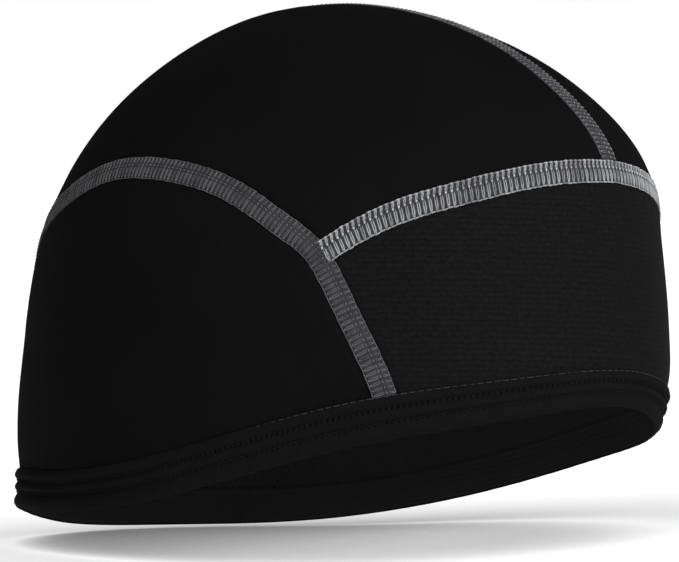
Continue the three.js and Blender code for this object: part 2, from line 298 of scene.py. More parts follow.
def patch(bottom, top, left, right):
    # grid of places filled in between four edges that share their corners
    u = np.linspace(0, 1, len(bottom))[None, :, None]
    v = np.linspace(0, 1, len(left))[:, None, None]
    across = left[:, None] * (1 - u) + right[:, None] * u
    upward = bottom[None] * (1 - v) + top[None] * v
    low = bottom[0] * (1 - u) + bottom[-1] * u
    high = top[0] * (1 - u) + top[-1] * u
    return across + upward - (low * (1 - v) + high * v)


print("form ready, hem", round(float(skin(0.0, riseAboveHem(0.0, 0.0))[2]), 4))


# Finishes


def setInputs(tree, node, inputs):
    # each input gets its value, or a link where it is given the output of another node
    for title, value in inputs.items():
        if isinstance(value, bpy.types.NodeSocket):
            tree.links.new(value, node.inputs[title])
        else:
            node.inputs[title].default_value = value


def newNode(tree, kind, inputs=None, **settings):
    node = tree.nodes.new(kind)
    for title, value in settings.items():
        setattr(node, title, value)
    setInputs(tree, node, inputs or {})
    return node


def newMaterial(name):
    material = bpy.data.materials.new(name)
    material.use_nodes = True
    material.node_tree.nodes.clear()
    return material, material.node_tree


def principled(tree, inputs):
    shader = newNode(tree, "ShaderNodeBsdfPrincipled", inputs)
    newNode(tree, "ShaderNodeOutputMaterial", {"Surface": shader.outputs["BSDF"]})


def noiseNode(tree, vector, scale, detail=3.0):
    inputs = {"Vector": vector, "Scale": scale, "Detail": detail}
    return newNode(tree, "ShaderNodeTexNoise", inputs).outputs["Fac"]


def waveNode(tree, vector, direction, period, distortion):
    inputs = {
        "Vector": vector,
        "Scale": math.pi / 10 / period,
        "Distortion": distortion,
        "Detail Scale": 1.0,
    }
    node = newNode(tree, "ShaderNodeTexWave", inputs, wave_type="BANDS", bands_direction=direction)
    return node.outputs["Fac"]


def mathNode(tree, operation, first, second):
    return newNode(tree, "ShaderNodeMath", {0: first, 1: second}, operation=operation).outputs[0]


def shareNode(tree, first, firstShare, second, secondShare):
    # two values added, each times its share
    if firstShare != 1:
        first = mathNode(tree, "MULTIPLY", first, firstShare)
    return mathNode(tree, "ADD", first, mathNode(tree, "MULTIPLY", second, secondShare))


def rampNode(tree, factor, *stops):
    node = newNode(tree, "ShaderNodeValToRGB", {"Fac": factor})
    for element, (position, colour) in zip(node.color_ramp.elements, stops):
        element.position = position
        element.color = (*colour, 1)
    return node.outputs["Color"]


def bumpNode(tree, height, distance):
    inputs = {"Height": height, "Distance": distance, "Strength": 1.0}
    return newNode(tree, "ShaderNodeBump", inputs).outputs["Normal"]


def clothSpaces(tree):
    # places along the cloth, and places in the body of the piece
    weave = newNode(tree, "ShaderNodeUVMap", uv_map="cloth")
    return weave.outputs["UV"], newNode(tree, "ShaderNodeTexCoord").outputs["Object"]


def dressKnit(tree, look, tone, height, patches):
    # colour, relief, roughness and sheen, set in the same way for each knit
    low, high = look["roughness"]
    spread = newNode(tree, "ShaderNodeMapRange", {"Value": patches, "To Min": low, "To Max": high})
    principled(tree, {
        "Base Color": rampNode(tree, tone, (look["toneFrom"], look["low"]), (0.85, look["high"])),
        "Normal": bumpNode(tree, height, look["relief"]),
        "Roughness": spread.outputs["Result"],
        "Specular IOR Level": look["gloss"],
        "Sheen Weight": look["sheen"],
        "Sheen Roughness": 0.45,
        "Sheen Tint": (*look["sheenTint"], 1),
    })


smoothLook = {
    "low": (0.0038, 0.0038, 0.0042),
    "high": (0.0061, 0.0061, 0.0066),
    "toneFrom": 0.25,
    "walePitch": 0.00055,
    "coursePitch": 0.00042,
    "relief": 0.00010,
    "fibreScale": 5200.0,
    "patchScale": 26.0,
    "gloss": 0.012,
    "sheen": 0.004,
    "sheenTint": (0.5, 0.5, 0.52),
    "roughness": (0.78, 0.92),
}


def smoothKnit(name, look):
    # fine stretch jersey: columns of loops along one way of the cloth, courses across them
    material, tree = newMaterial(name)
    weave, body = clothSpaces(tree)
    wales = waveNode(tree, weave, "X", look["walePitch"], 0.4)
    courses = waveNode(tree, weave, "Y", look["coursePitch"], 0.4)
    rowShare = mathNode(tree, "ADD", mathNode(tree, "MULTIPLY", courses, 0.6), 0.4)
    loops = mathNode(tree, "MULTIPLY", wales, rowShare)
    height = shareNode(tree, loops, 1, noiseNode(tree, body, look["fibreScale"]), 0.5)
    patches = noiseNode(tree, body, look["patchScale"])
    # colour from random patches, and lighter on the loops and darker between them: painted shade in the
    # hollows of the knit
    tone = shareNode(tree, patches, 0.6, loops, 0.5)
    dressKnit(tree, look, tone, height, patches)
    return material


ribbedLook = {
    "low": (0.0042, 0.0043, 0.0046),
    "high": (0.0084, 0.0086, 0.0092),
    "toneFrom": 0.30,
    "rowPitch": 1.6,  # this and the next two are in millimetres
    "cellWidth": 2.1,
    "gapWidth": 0.30,
    "relief": 0.00009,
    "waver": 0.00150,
    "waverScale": 330.0,
    "fibreScale": 4200.0,
    "speckScale": 760.0,
    "patchScale": 30.0,
    "gloss": 0.02,
    "sheen": 0.008,
    "sheenTint": (0.6, 0.6, 0.62),
    "roughness": (0.80, 0.94),
}


def ribbedKnit(name, look):
    # cellular knit: low rows of staggered cells with small hollows between them
    material, tree = newMaterial(name)
    weave, body = clothSpaces(tree)
    drift = newNode(tree, "ShaderNodeTexNoise", {"Vector": weave, "Scale": look["waverScale"]})
    inputs = {0: drift.outputs["Color"], 1: (look["waver"], look["waver"], 0), 2: weave}
    waver = newNode(tree, "ShaderNodeVectorMath", inputs, operation="MULTIPLY_ADD").outputs["Vector"]
    inMillimetres = newNode(tree, "ShaderNodeMapping", {"Vector": waver, "Scale": (1000, 1000, 1000)})
    cells = newNode(tree, "ShaderNodeTexBrick", {
        "Vector": inMillimetres.outputs["Vector"],
        "Scale": 1.0,
        "Mortar Size": look["gapWidth"],
        "Mortar Smooth": 1.0,
        "Brick Width": look["cellWidth"],
        "Row Height": look["rowPitch"],
        "Color1": (1, 1, 1, 1),
        "Color2": (0.35, 0.35, 0.35, 1),
        "Mortar": (0, 0, 0, 1),
    }, offset=0.5)
    rows = waveNode(tree, waver, "Y", look["rowPitch"] / 1000, 0.5)
    loops = shareNode(tree, cells.outputs["Color"], 0.55, rows, 0.45)
    height = shareNode(tree, loops, 1, noiseNode(tree, body, look["fibreScale"]), 0.35)
    specks = noiseNode(tree, weave, look["speckScale"])
    # colour from random specks, and darker in the gaps between the cells: painted shade in the hollows
    tone = shareNode(tree, loops, 0.22, specks, 0.80)
    dressKnit(tree, look, tone, height, noiseNode(tree, body, look["patchScale"]))
    return material


def threadFinish(name, low, high, roughness, gloss, own):
    # spun sewing thread: fine fibres, and a tone of its own for each stitch
    material, tree = newMaterial(name)
    body = newNode(tree, "ShaderNodeTexCoord").outputs["Object"]
    fibres = noiseNode(tree, body, 5200.0)
    each = newNode(tree, "ShaderNodeAttribute", attribute_name="tone")
    tone = shareNode(tree, noiseNode(tree, body, 420.0, 2.0), 0.6, fibres, 0.3)
    tone = shareNode(tree, tone, 1, each.outputs["Fac"], own)
    principled(tree, {
        "Base Color": rampNode(tree, tone, (0.3, low), (0.75, high)),
        "Normal": bumpNode(tree, fibres, 0.00012),
        "Roughness": roughness,
        "Specular IOR Level": gloss,
        "Sheen Weight": 0.03,
    })
    return material


bindingLook = dict(smoothLook, low=(0.0047, 0.0047, 0.0052), high=(0.0083, 0.0083, 0.0090))
bindingLook["coursePitch"] = 0.0006
# the inside of the knit gets a far lighter colour than the outside: painted light in the hollow, where
# little light reaches
insidePaintedLightLook = dict(smoothLook, low=(0.0280, 0.0280, 0.0300), high=(0.0420, 0.0420, 0.0445))
insidePaintedLightLook["relief"] = 0.00016
crownKnit = smoothKnit("smooth black stretch knit", smoothLook)
browKnit = ribbedKnit("ribbed brow knit", ribbedLook)
bindingKnit = smoothKnit("binding knit", bindingLook)
insidePaintedLightKnit = smoothKnit("inside of the knit with painted light", insidePaintedLightLook)

# name, darkest and lightest colour, roughness, gloss
threadLooks = {
    "bed": ("seam bed thread", (0.024, 0.024, 0.026), (0.052, 0.053, 0.056), 0.9, 0.05),
    "grey": ("grey covering thread", (0.042, 0.043, 0.045), (0.096, 0.098, 0.102), 0.8, 0.1),
    "chain": ("mid grey chain thread", (0.046, 0.047, 0.050), (0.108, 0.110, 0.115), 0.8, 0.1),
    "bead": ("lighter chain thread of the crown", (0.075, 0.076, 0.079), (0.21, 0.213, 0.219), 0.8, 0.1),
    "light": ("light grey covering thread", (0.105, 0.106, 0.110), (0.300, 0.304, 0.312), 0.8, 0.12),
    "pale": ("pale needle thread", (0.18, 0.183, 0.190), (0.46, 0.466, 0.476), 0.75, 0.15),
    "edge": ("thin edge thread", (0.006, 0.006, 0.007), (0.050, 0.051, 0.054), 0.8, 0.05),
    "black": ("black cover stitch thread", (0.0026, 0.0026, 0.0030), (0.0065, 0.0065, 0.0072), 0.85, 0.05),
}
ownTone = {"bed": 0.0, "edge": 0.6}
finishOf = {word: threadFinish(*look, ownTone.get(word, 0.35)) for word, look in threadLooks.items()}
print("finishes ready")


# Meshes


def meshObject(name, points, faces, uv, materials, materialOf):
    mesh = bpy.data.meshes.new(name)
    mesh.from_pydata(points.tolist(), [], faces.tolist())
    mesh.validate()
    corner = np.zeros(len(mesh.loops), np.int32)
    mesh.loops.foreach_get("vertex_index", corner)
    layer = mesh.uv_layers.new(name="cloth")
    layer.data.foreach_set("uv", uv[corner].astype(np.float32).ravel())
    mesh.shade_smooth()
    mesh.set_sharp_from_angle(angle=math.radians(55))
    for material in materials:
        mesh.materials.append(material)
    mesh.polygons.foreach_set("material_index", materialOf)
    piece = bpy.data.objects.new(name, mesh)
    bpy.context.scene.collection.objects.link(piece)
    return piece


def standFor(piece, node):
    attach(piece, "root")
    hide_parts(node)
    return piece


def gridFaces(number, turned=False):
    # the four-sided faces of a grid of point numbers, facing the other way if turned
    a, b, c, d = number[:-1, :-1], number[:-1, 1:], number[1:, 1:], number[1:, :-1]
    return np.stack([a, d, c, b] if turned else [a, b, c, d], -1).reshape(-1, 4)


def gridWall(outer, inner):
    # a closed wall between two grids of points, and which of its faces are inside ones
    rows, columns = outer.shape[:2]
    number = np.arange(rows * columns).reshape(rows, columns)
    back = number + rows * columns
    faces = [
        gridFaces(number),
        gridFaces(back, True),
        np.stack([number[0, :-1], back[0, :-1], back[0, 1:], number[0, 1:]], -1),
        np.stack([number[-1, :-1], number[-1, 1:], back[-1, 1:], back[-1, :-1]], -1),
        np.stack([number[:-1, 0], number[1:, 0], back[1:, 0], back[:-1, 0]], -1),
        np.stack([number[:-1, -1], back[:-1, -1], back[1:, -1], number[1:, -1]], -1),
    ]
    points = np.concatenate([outer.reshape(-1, 3), inner.reshape(-1, 3)])
    inside = np.concatenate([np.full(len(part), int(index == 1)) for index, part in enumerate(faces)])
    return points, np.concatenate(faces), inside


def wallPiece(name, node, outer, inner, uv, finish):
    points, faces, inside = gridWall(outer, inner)
    uv = np.concatenate([uv, uv]).reshape(-1, 2)
    # the inner faces take the inside knit, whose lighter colour is painted light
    return standFor(meshObject(name, points, faces, uv, [finish, insidePaintedLightKnit], inside), node)


def anticlockwise(grid):
    # the grid turned so that its faces point outwards
    border = np.concatenate([grid[0], grid[1:, -1], grid[-1, :-1][::-1], grid[1:-1, 0][::-1]])
    following = np.roll(border, -1, 0)
    area = (border[:, 0] * following[:, 1] - border[:, 1] * following[:, 0]).sum()
    return grid[:, ::-1] if area < 0 else grid


def nearEdge(points, edge):
    # distance from each point to an edge, and how far along the edge the nearest place lies
    line = skinAt(edge)
    along = np.concatenate([[0], np.cumsum(np.linalg.norm(np.diff(line, axis=0), axis=1))])
    flat = points.reshape(-1, 3)
    nearest = np.empty(len(flat), int)
    distance = np.empty(len(flat))
    for start in range(0, len(flat), 4000):
        part = flat[start : start + 4000]
        squares = ((part[:, None] - line[None]) ** 2).sum(-1)
        nearest[start : start + 4000] = squares.argmin(1)
        distance[start : start + 4000] = np.sqrt(squares.min(1))
    return distance.reshape(points.shape[:-1]), along[nearest].reshape(points.shape[:-1])


cloth = {
    "clearOfSeam": 0.00005,
    "puff": 0.00016,  # how far the cloth stands up beside a seam
    "puffAt": 0.0022,
    "puffWidth": 0.0017,
    "tuck": 0.00030,  # how far its edge is drawn down
    "tuckWidth": 0.0007,
    "pucker": 0.00009,
    "puckerPitch": 0.0068,
    "puckerReach": 0.0075,
    "hemDraw": 0.00055,  # how far the binding draws the cloth in
    "hemDrawReach": 0.0042,
    "ease": 0.00020,
    "stretched": 1.10,  # how much longer the knit is worn than cut, each way
    "perDegree": 0.00155,  # length of cloth to a degree of turn near the brow level
}


def relief(places, points, seamEdges, phase):
    lift = np.zeros(points.shape[:-1])
    for number, edge in enumerate(seamEdges):
        distance, along = nearEdge(points, edge)
        lift += cloth["puff"] * np.exp(-(((distance - cloth["puffAt"]) / cloth["puffWidth"]) ** 2))
        lift -= cloth["tuck"] * np.exp(-((distance / cloth["tuckWidth"]) ** 2))
        wave = np.sin(2 * math.pi * along / cloth["puckerPitch"] + phase + number)
        wave += 0.6 * np.sin(2 * math.pi * along / (cloth["puckerPitch"] * 1.73) + 2.1 * phase + number)
        lift += cloth["pucker"] * wave * np.exp(-distance / cloth["puckerReach"])
    turn, rise = turnRise(places)
    aboveBand = points[..., 2] - skin(turn, riseAboveHem(turn, band["height"] * bandShare(turn)))[..., 2]
    drawn = np.exp(-((np.clip(aboveBand, 0, None) / cloth["hemDrawReach"]) ** 2))
    gather = 0.75 + 0.25 * np.sin(np.radians(turn) * 61 + phase) * np.sin(np.radians(turn) * 17)
    lift -= cloth["hemDraw"] * drawn * gather
    swell = np.sin(places[..., 0] / 9.0 + phase) * np.sin(places[..., 1] / 11.0 + 1.7 * phase)
    return lift + cloth["ease"] * swell


def crownWeave(places):
    return places * form["crownRise"] * math.pi / 180


def wallWeave(places):
    turn, rise = turnRise(places)
    return np.stack([turn * cloth["perDegree"], rise * form["crownRise"] * math.pi / 180], -1)


def panelPiece(name, node, gridAndEdges, weave, material, phase):
    grid, edges = gridAndEdges
    grid = anticlockwise(grid)
    points, right, ahead, normal = frameAt(grid)
    outer = points + normal * relief(grid, points, edges, phase)[..., None]
    inner = points - normal * form["cloth"]
    return wallPiece(name, node, outer, inner, weave(grid), material)


clearOfSeam = halfSeam + cloth["clearOfSeam"]
panelSteps = {"side": (150, 60), "forehead": (190, 46), "crown": (190, 70), "legShare": 0.27}


def sidePanelGrid(side):
    arch = besideSideSeam(side, clearOfSeam)
    hem = hemEdge(side)
    start, templeHem = crossing(arch[:half], hem)
    end, napeHem = crossing(arch[half:], hem)
    end += half
    leg = panelSteps["legShare"] * (end - start)
    columns, rows = panelSteps["side"]
    grid = patch(
        stretch(hem, templeHem, napeHem, columns),
        stretch(arch, start + leg, end - leg, columns),
        stretch(arch, start, start + leg, rows),
        stretch(arch, end, end - leg, rows),
    )
    return grid, [arch[int(start) : int(end) + 2]]


def foreheadPanelGrid():
    top = besideForeheadSeam(-clearOfSeam)
    hem = hemPath(180, -180, -band["tuck"])
    columns, rows = panelSteps["forehead"]
    ends = []
    for side in (1, -1):
        edge = besideSideSeam(side, -clearOfSeam)[:half]
        low, lowHem = crossing(edge, hem)
        high, highTop = crossing(edge, top)
        ends.append((edge, low, lowHem, high, highTop))
    right, left = ends
    grid = patch(
        stretch(hem, right[2], left[2], columns),
        stretch(top, right[4], left[4], columns),
        stretch(right[0], right[1], right[3], rows),
        stretch(left[0], left[1], left[3], rows),
    )
    edges = [top[int(right[4]) : int(left[4]) + 2]]
    edges += [end[0][int(end[1]) : int(end[3]) + 2] for end in ends]
    return grid, edges


def crownPanelGrid(side):
    outer = besideSideSeam(side, -clearOfSeam)
    front = besideForeheadSeam(clearOfSeam)
    middle = besideCrownSeam(side, clearOfSeam)
    hem = hemEdge(side)
    temple, templeFront = crossing(outer, front)
    brow, browFront = crossing(middle, front)
    outerNape, outerHem = crossing(outer[half:], hem)
    outerNape += half
    middleNape, middleHem = crossing(middle, hem)
    columns, rows = panelSteps["crown"]
    grid = patch(
        stretch(outer, temple, outerNape, columns),
        stretch(middle, brow, middleNape, columns),
        stretch(front, templeFront, browFront, rows),
        stretch(hem, outerHem, middleHem, rows),
    )
    low, high = sorted([int(templeFront), int(browFront)])
    edges = [
        outer[int(temple) : int(outerNape) + 2],
        middle[int(brow) : int(middleNape) + 2],
        front[low : high + 2],
    ]
    return grid, edges


for side, word in ((1, "right"), (-1, "left")):
    for part, makeGrid, weave, phase in (
        ("side", sidePanelGrid, wallWeave, 0.4 + side),
        ("crown", crownPanelGrid, crownWeave, 2.0 + side),
    ):
        name, node = part + word.capitalize(), part + "_" + word
        panelPiece(name, node, makeGrid(side), weave, crownKnit, phase)
panelPiece(
    "foreheadPanel", "forehead_panel", foreheadPanelGrid(), wallWeave, browKnit, 0.9
)


# Seams: a low bed of thread between the panels, with the stitches laid over it

seam = {
    "across": 14,
    "step": 0.0007,
    "raise": 0.00030,
    "edgeDrop": 0.00045,
    "tuckUnder": 0.0006,
    "bedRib": 0.00005,
    "needleGroove": 0.00010,
    "needleWidth": 0.05,  # as a share of the seam's width
    "rimFrom": 0.9,  # where the edge starts to drop, as a share of half the width
}


def seamEnds(first, second, startAt, endAt):
    # the two edges of a strip, cut where they cross the paths at its start and end
    edges = []
    for edge in (first, second):
        middle = len(edge) // 2
        start = crossing(edge[:middle], startAt)[0]
        end = crossing(edge[middle:], endAt)[0] + middle
        edges.append((edge, start, end))
    return edges


def seamPiece(name, node, edges, needleAt, ribPitch):
    length = pathLength(stretch(*edges[0], 200))
    steps = int(length / seam["step"])
    first, second = (stretch(edge, start, end, steps) for edge, start, end in edges)
    share = np.linspace(0, 1, seam["across"] + 1)
    share = 0.5 - 0.5 * np.cos(math.pi * share) * (1 - 0.35 * np.sin(math.pi * share) ** 2)
    grid = first[None] * (1 - share[:, None, None]) + second[None] * share[:, None, None]
    points, right, ahead, normal = frameAt(grid)
    fromMiddle = np.abs(2 * share - 1)
    profile = seam["raise"] * (1 - 0.35 * fromMiddle**2)
    rim = np.clip((fromMiddle - seam["rimFrom"]) / (1 - seam["rimFrom"]), 0, 1)
    profile -= (seam["raise"] + seam["edgeDrop"]) * rim**2
    profile -= seam["needleGroove"] * np.exp(-(((share - needleAt) / seam["needleWidth"]) ** 2))
    along = np.linspace(0, length, steps + 1)
    rib = seam["bedRib"] * np.sin(2 * math.pi * along[None] / ribPitch) * (1 - fromMiddle[:, None] ** 4)
    outer = points + normal * (profile[:, None] + rib)[..., None]
    inner = points - normal * form["cloth"]
    uv = np.stack(np.broadcast_arrays(along[None], share[:, None] * form["seamWidth"]), -1)
    if anticlockwise(grid) is not grid:
        outer, inner, uv = (part[:, ::-1] for part in (outer, inner, uv))
    return wallPiece(name, node, outer, inner, uv, finishOf["bed"])


seamEdges = {}
for side, word in ((1, "Right"), (-1, "Left")):
    hem = hemEdge(side)
    bothEdges = [besideSideSeam(side, away) for away in (halfSeam, -halfSeam)]
    seamEdges["sideSeam" + word] = seamEnds(*bothEdges, hem, hem)
foreheadEnds = [besideSideSeam(side, -halfSeam + seam["tuckUnder"]) for side in (1, -1)]
bothEdges = [besideForeheadSeam(away) for away in (-halfSeam, halfSeam)]
seamEdges["foreheadSeam"] = seamEnds(*bothEdges, *foreheadEnds)
crownStart = besideForeheadSeam(halfSeam - seam["tuckUnder"])
crownEnd = hemPath(120, 240, -band["tuck"])
bothEdges = [besideCrownSeam(side, halfSeam) for side in (1, -1)]
seamEdges["crownSeam"] = seamEnds(*bothEdges, crownStart, crownEnd)

# piece, solid, where the needle row runs across it, and the pitch of the bed's ribs
seamRows = [
    ("sideSeamRight", "side_seam_right", 0.62, 0.0015),
    ("sideSeamLeft", "side_seam_left", 0.62, 0.0015),
    ("foreheadSeam", "forehead_seam", 0.55, 0.0019),
    ("crownSeam", "crown_seam", 0.5, 0.0017),
]
seamPieces = {name: seamPiece(name, node, seamEdges[name], at, pitch) for name, node, at, pitch in seamRows}
print("seam beds:", sum(len(piece.data.polygons) for piece in seamPieces.values()), "faces")


# Binding

# its outer face from the top edge down, as shares of its height and of how far it stands proud;
# the dips are the rows of cover stitch
bandRows = [
    (0, 0.05),
    (0.07, 0.50),
    (0.20, 0.78),
    (0.32, 0.34),
    (0.46, 0.90),
    (0.60, 0.48),
    (0.76, 1.00),
    (0.90, 1.00),
    (1, 0.40),
]
bandProudAt = naturalCurve(*zip(*bandRows))

# its inner face from the lip up, as shares of its height and of its thickness
bandInside = [(0.97, 0.58), (0.55, 0.78), (0.04, 0.90)]
bandInRows = [0.965, 0.86, 0.75, 0.55, 0.4, 0.25, 0.12, 0.04, 0.0]


def bandFrame(turn, depth):
    # skin point at a depth of the band, and the level outward direction there
    rise = riseAboveHem(turn, band["height"] * bandShare(turn) * (1 - depth))
    points, right, ahead, normal = frameAt(place(turn, rise))
    normal[..., 2] = 0
    return points, normal / np.linalg.norm(normal, axis=-1, keepdims=True)


def bandPiece():
    turn = 180 - 360 * np.arange(band["around"]) / band["around"]
    outDepth = np.linspace(0, band["lipAt"], band["outRows"])
    roll = np.linspace(0, math.pi, 9)[1:-1]
    insideProud = [1 - band["thickness"] / band["proud"] * share for _, share in bandInside]
    outProud = bandProudAt(outDepth)
    middleProud = (outProud[-1] + insideProud[0]) / 2
    rollProud = middleProud + (outProud[-1] - insideProud[0]) / 2 * np.cos(roll)
    inDepth = np.array(bandInRows)
    inProud = np.interp(inDepth, [height for height, _ in reversed(bandInside)], insideProud[::-1])
    inProud[-1] = insideProud[-1] + 0.35
    rollDepth = band["lipAt"] + (1 - band["lipAt"]) * np.sin(roll)
    depth = np.concatenate([outDepth, rollDepth, inDepth])[:, None]
    proud = np.concatenate([outProud, rollProud, inProud])[:, None] * band["proud"]
    outerFace = (np.arange(len(depth)) < band["outRows"])[:, None]
    points, normal = bandFrame(np.broadcast_to(turn[None], (len(depth), len(turn))), depth)
    along = np.concatenate([[0], np.cumsum(np.linalg.norm(np.diff(points[20], axis=0), axis=1))])[None]
    lift = np.repeat(proud, len(turn), 1)
    for number, row in enumerate(band["stitchRows"]):
        nearRow = np.exp(-(((depth - row) / band["rowWidth"]) ** 2)) * outerFace
        hole = np.cos(math.pi * along / band["stitchPitch"] + 1.1 * number) ** 6
        lift -= nearRow * (band["groove"] + band["dent"] * hole)
    ripple = np.sin(2 * math.pi * along / band["ripplePitch"] + 2.5 * depth)
    ripple += 0.7 * np.sin(2 * math.pi * along / (2.4 * band["ripplePitch"]) + 1)
    lift += band["ripple"] * ripple * (0.25 + 0.75 * depth)
    points = points + normal * lift[..., None]
    number = np.arange(points.shape[0] * points.shape[1]).reshape(points.shape[:2])
    number = np.concatenate([number, number[:, :1]], 1)
    number = np.concatenate([number, number[:1]], 0)
    faces = gridFaces(number, True)
    down = -0.0004 * np.arange(len(depth))[:, None]
    inward = np.repeat(np.arange(len(depth)) >= len(depth) - len(inDepth), band["around"]).astype(int)
    uv = np.stack(np.broadcast_arrays(along, down), -1).reshape(-1, 2)
    # the band's inner faces take the inside knit, whose lighter colour is painted light
    piece = meshObject("hemBand", points.reshape(-1, 3), faces, uv, [bindingKnit, insidePaintedLightKnit], inward)
    return standFor(piece, "hem_band")


hemBand = bandPiece()
print("binding:", len(hemBand.data.polygons), "faces")


# Stitches: one short length of thread, repeated along a path by Geometry Nodes

# points of a strand in millimetres: along the seam, across it (0 is the middle line), above the bed;
# the needle row lies over the strands in a thread of its own
coverStitch = {
    "pitch": 0.00170,
    "unevenness": 0.03,
    "radius": 0.00025,
    "strands": [
        [(0.66, 0.85, 0.02), (0.54, -0.2, 0.26), (0.22, -2.2, 0.26), (-0.24, -3.24, 0.04),
         (-0.33, -2.2, 0.26), (-0.04, -0.2, 0.26), (0.12, 0.85, 0.02)],
        [(-0.75, -3.26, 0.06), (-0.20, -3.34, 0.12), (0.50, -3.34, 0.12), (1.05, -3.26, 0.06)],
        [(-0.20, 3.10, 0.06), (0.30, 3.18, 0.10), (0.90, 3.18, 0.10), (1.45, 3.10, 0.06)],
        [(0.26, 1.25, 0.04), (0.60, 2.1, 0.18), (0.88, 2.8, 0.16), (0.72, 3.12, 0.04),
         (0.38, 2.6, 0.16), (0.12, 2.0, 0.18), (-0.14, 1.25, 0.04)],
    ],
    "needle": [
        [(-0.06, 0.78, 0.20), (0.03, 1.02, 0.34), (0.13, 1.26, 0.34), (0.22, 1.50, 0.20)],
        [(0.48, 2.84, 0.12), (0.56, 2.98, 0.22), (0.64, 3.12, 0.20), (0.72, 3.26, 0.08)],
    ],
    "needleRadius": 0.00034,
}
ladderStitch = {
    "pitch": 0.00158,
    "unevenness": 0.03,
    "radius": 0.00020,
    "strands": [
        [(0.30, -0.45, 0.02), (0.30, 0.4, 0.22), (0.24, 2.1, 0.24), (0.0, 3.18, 0.04),
         (-0.24, 2.1, 0.24), (-0.18, 0.4, 0.22), (-0.12, -0.45, 0.02)],
        [(0.16, -1.10, 0.02), (0.04, -1.7, 0.22), (-0.14, -2.4, 0.22), (-0.38, -3.04, 0.04),
         (-0.50, -2.4, 0.20), (-0.34, -1.7, 0.20), (-0.22, -1.10, 0.02)],
        [(-0.95, -3.12, 0.00), (-0.45, -3.14, 0.02), (0.25, -3.14, 0.02), (0.75, -3.12, 0.00)],
        [(-0.85, 3.20, 0.00), (-0.35, 3.22, 0.02), (0.35, 3.22, 0.02), (0.85, 3.20, 0.00)],
    ],
    "needle": [
        [(-0.38, -0.72, 0.10), (-0.14, -0.77, 0.24), (0.14, -0.79, 0.24), (0.38, -0.84, 0.10)],
        [(0.06, 2.44, 0.16), (0.02, 2.62, 0.28), (-0.02, 2.80, 0.28), (-0.06, 2.98, 0.14)],
        [(-0.30, -2.35, 0.14), (-0.36, -2.52, 0.26), (-0.42, -2.69, 0.26), (-0.48, -2.86, 0.12)],
    ],
    "needleRadius": 0.00027,
}
bindingStitch = {
    "pitch": band["stitchPitch"],
    "unevenness": 0.12,
    "radius": 0.00017,
    "strands": [[(-0.50, 0, -0.30), (-0.26, 0.05, 0.10), (0.26, -0.05, 0.10), (0.50, 0, -0.30)]],
}
edgeStitch = {
    "pitch": 0.0024,
    "unevenness": 0.14,
    "radius": 0.00010,
    "sunkFrom": 60,  # past this turn it sinks into the fold
    "sunkAt": 76,
    "sunkBy": 0.00030,
    "strands": [
        [(-0.95, 0.04, -0.14), (-0.65, 0.02, 0.06), (0.0, -0.04, 0.12), (0.65, 0.0, 0.06),
         (0.95, 0.04, -0.14)],
    ],
}


def threadShape(name, strands, radius):
    # round thread along each strand, closed at both ends
    rings, sides = 8, 4
    points, faces = [], []
    ring = np.linspace(0, 2 * math.pi, sides, endpoint=False)
    for strand in strands:
        line = np.array(strand) / 1000
        at = np.linspace(0, len(line) - 1, rings)
        centre = np.stack([naturalCurve(range(len(line)), line[:, k])(at) for k in range(3)], -1)
        ahead = np.gradient(centre, axis=0)
        aside = np.cross([0, 0, 1], ahead)
        aside /= np.linalg.norm(aside, axis=1, keepdims=True)
        above = np.cross(ahead, aside)
        above /= np.linalg.norm(above, axis=1, keepdims=True)
        start = len(points)
        for k in range(rings):
            swell = radius * (1 - 0.5 * abs(2 * k / (rings - 1) - 1) ** 3)
            for angle in ring:
                points.append(centre[k] + swell * (math.cos(angle) * aside[k] + math.sin(angle) * above[k]))
        for k in range(rings - 1):
            for i in range(sides):
                a, b = start + k * sides + i, start + k * sides + (i + 1) % sides
                faces.append((a, b, b + sides, a + sides))
        faces.append(tuple(start + i for i in reversed(range(sides))))
        faces.append(tuple(start + (rings - 1) * sides + i for i in range(sides)))
    mesh = bpy.data.meshes.new(name)
    mesh.from_pydata([tuple(p) for p in points], [], faces)
    mesh.shade_smooth()
    return bpy.data.objects.new(name, mesh)


